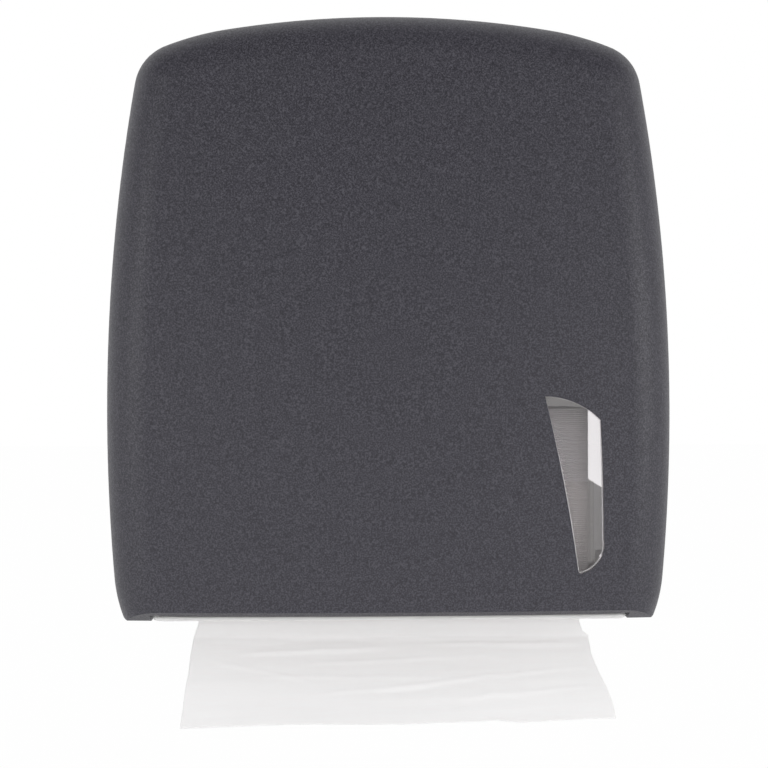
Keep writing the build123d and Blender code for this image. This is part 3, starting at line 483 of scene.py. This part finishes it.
def make_towel():
    """The towel that hangs from the slot, as one creased sheet."""
    low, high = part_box("hanging_towel")
    slot_y, under = high.y - NODE_INSET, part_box("exit_floor")[0].z
    path = [Vector((0, slot_y, high.z))]
    path += [Vector((0, slot_y - forward, under - below)) for forward, below in (NECK_BEND, CREASE_BEND)]
    path.append(Vector((0, low.y + NODE_INSET, low.z + NODE_INSET)))
    length = sum((b - a).length for a, b in zip(path, path[1:]))
    path.append(path[-1] + (path[-1] - path[-2]).normalized() * PATH_SPARE)
    points = []
    for row in range(TOWEL_ROWS):
        down = row / (TOWEL_ROWS - 1)
        for column in range(TOWEL_COLUMNS):
            across = column / (TOWEL_COLUMNS - 1)
            ragged = RAGGED * noise.noise(Vector((across * RAGGED_SCALE, 1, 1)))
            distance = down * (length + from_table(END_LINE, across) * MM + ragged)
            before = along(path, max(distance - BEND_REACH, 0))
            after = along(path, distance + BEND_REACH)
            spot = (before + after + along(path, distance) * 2) / 4
            run = (after - before).normalized()
            out = Vector((0, run.z, -run.y))
            left, right = (from_table(EDGES, (under - spot.z) / MM, side) * MM for side in (1, 2))
            x = left + (right - left) * across
            points.append(Vector((x, 0, 0)) + spot + out * stand_out(x, distance, across, down))
    towel = mesh_object("hanging_paper_towel", points, grid_faces(TOWEL_ROWS, TOWEL_COLUMNS), towel_paper)
    ply = towel.modifiers.new("ply", "SOLIDIFY")
    ply.thickness = TOWEL_PLY
    ply.offset = 0
    bpy.context.view_layer.objects.active = towel
    with bpy.context.temp_override(object=towel):
        bpy.ops.object.modifier_apply(modifier=ply.name)
    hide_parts("hanging_towel")
    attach(towel, "dispenser")
    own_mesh(towel)


make_lens_bead()
make_stack()
make_towel()


# ---- floor, light and camera -------------------------------------------------------------------------
FLOOR_HEIGHT = -0.33
FLOOR_SIZE = 14.0
FLOOR_SHINE = 0.97           # share of plain white in what the camera sees of the floor
WORLD_FILL = 0.90            # light that the surroundings give to surfaces
GLOSS_DIM = 0.08             # strength of the surroundings in a gloss, above and in front
GLOSS_AHEAD = 0.25           # y of a direction, below which it counts as in front
GLOSS_RAISED = 0.05          # how far below level a direction still counts as above
GLOSS_STEEP = 5.0            # how fast the gloss dims as directions rise
LIGHT_SIZE = (1.3, 1.3)
LIGHT_AIM = (0, -0.05, -0.05)
LEFT_LIGHT = ((-1.7, -1.7, 0.1), 12.5)     # place in metres, power in watts
RIGHT_LIGHT = ((1.7, -1.5, 0.0), 17)
CAMERA_PLACE = (-30.8 * MM, -1.10, -39.2 * MM)
CAMERA_SENSOR = 36.0         # millimetres wide
CAMERA_LENS = 79.78          # millimetres, for a square picture on that sensor
CAMERA_TURN = (math.radians(90), math.radians(0.152), math.radians(-1.587))


def math_node(tree, operation, *values):
    """Output of a Math node whose inputs are numbers or other outputs."""
    node = tree.nodes.new("ShaderNodeMath")
    node.operation = operation
    for socket, value in zip(node.inputs, values):
        if isinstance(value, (int, float)):
            socket.default_value = value
        else:
            tree.links.new(value, socket)
    return node.outputs[0]


def seen_white(tree):
    """1 for rays that look at the background directly, in a gloss or through something clear."""
    path = tree.nodes.new("ShaderNodeLightPath")
    gloss = math_node(tree, "MAXIMUM", path.outputs["Is Camera Ray"], path.outputs["Is Glossy Ray"])
    return math_node(tree, "MAXIMUM", gloss, path.outputs["Is Transmission Ray"])


def gloss_strength(tree):
    """What a gloss shows of the surroundings: white, but dim above and in front."""
    direction = tree.nodes.new("ShaderNodeSeparateXYZ")
    where = tree.nodes.new("ShaderNodeTexCoord")
    tree.links.new(where.outputs["Generated"], direction.inputs[0])
    forward = math_node(tree, "SUBTRACT", GLOSS_AHEAD, direction.outputs["Y"])
    ahead = math_node(tree, "MAXIMUM", forward, 0.0)
    upward = math_node(tree, "ADD", direction.outputs["Z"], GLOSS_RAISED)
    dim = math_node(tree, "MULTIPLY", ahead, math_node(tree, "MULTIPLY", upward, GLOSS_STEEP))
    range_node = tree.nodes.new("ShaderNodeMapRange")
    range_node.interpolation_type = "SMOOTHSTEP"
    range_node.inputs["To Min"].default_value = 1.0
    range_node.inputs["To Max"].default_value = GLOSS_DIM
    tree.links.new(dim, range_node.inputs["Value"])
    return range_node.outputs["Result"]


def make_world():
    """Even white surroundings: full white to the camera, and in a gloss dim above and in front."""
    world = bpy.data.worlds.new("studio")
    world.use_nodes = True
    tree = world.node_tree
    fill = tree.nodes["Background"]
    fill.inputs["Strength"].default_value = WORLD_FILL
    fill.inputs["Color"].default_value = (1, 1, 1, 1)
    white = tree.nodes.new("ShaderNodeBackground")
    white.inputs["Color"].default_value = (1, 1, 1, 1)
    path = tree.nodes.new("ShaderNodeLightPath")
    clear = math_node(tree, "MAXIMUM", path.outputs["Is Camera Ray"], path.outputs["Is Transmission Ray"])
    strength = math_node(tree, "MAXIMUM", clear, gloss_strength(tree))
    tree.links.new(strength, white.inputs["Strength"])
    mix = tree.nodes.new("ShaderNodeMixShader")
    tree.links.new(seen_white(tree), mix.inputs[0])
    tree.links.new(fill.outputs[0], mix.inputs[1])
    tree.links.new(white.outputs[0], mix.inputs[2])
    tree.links.new(mix.outputs[0], tree.nodes["World Output"].inputs["Surface"])
    bpy.context.scene.world = world


def make_floor():
    """Pale floor that looks white to the camera and keeps a trace of the object's shadow."""
    material, tree, shader = new_material("floor", Roughness=0.9)
    graded(tree, cloud(tree, 0.3), [(0.3, 0.84), (0.7, 0.87)], shader.inputs["Base Color"])
    white = tree.nodes.new("ShaderNodeEmission")
    mix = tree.nodes.new("ShaderNodeMixShader")
    tree.links.new(math_node(tree, "MULTIPLY", seen_white(tree), FLOOR_SHINE), mix.inputs[0])
    tree.links.new(shader.outputs[0], mix.inputs[1])
    tree.links.new(white.outputs[0], mix.inputs[2])
    tree.links.new(mix.outputs[0], tree.nodes["Material Output"].inputs["Surface"])
    half = FLOOR_SIZE / 2
    corners = [(-half, -half, FLOOR_HEIGHT), (half, -half, FLOOR_HEIGHT),
               (half, half, FLOOR_HEIGHT), (-half, half, FLOOR_HEIGHT)]
    mesh_object("studio_floor", corners, [(0, 1, 2, 3)], material)


def softbox(name, place_at, power):
    """Large square lamp that looks at the object."""
    lamp = bpy.data.lights.new(name, "AREA")
    lamp.shape = "RECTANGLE"
    lamp.size, lamp.size_y = LIGHT_SIZE
    lamp.energy = power
    holder = bpy.data.objects.new(name, lamp)
    holder.location = place_at
    holder.rotation_euler = (Vector(LIGHT_AIM) - Vector(place_at)).to_track_quat("-Z", "Y").to_euler()
    bpy.context.scene.collection.objects.link(holder)


def make_camera():
    """Camera at the photograph's place and angle."""
    camera = bpy.data.cameras.new("camera")
    camera.sensor_width = CAMERA_SENSOR
    camera.lens = CAMERA_LENS
    holder = bpy.data.objects.new("camera", camera)
    holder.location = CAMERA_PLACE
    holder.rotation_euler = CAMERA_TURN
    bpy.context.scene.collection.objects.link(holder)
    bpy.context.scene.camera = holder


make_world()
make_floor()
softbox("left_light", *LEFT_LIGHT)
softbox("right_light", *RIGHT_LIGHT)
make_camera()
bpy.context.scene.view_settings.view_transform = "Standard"
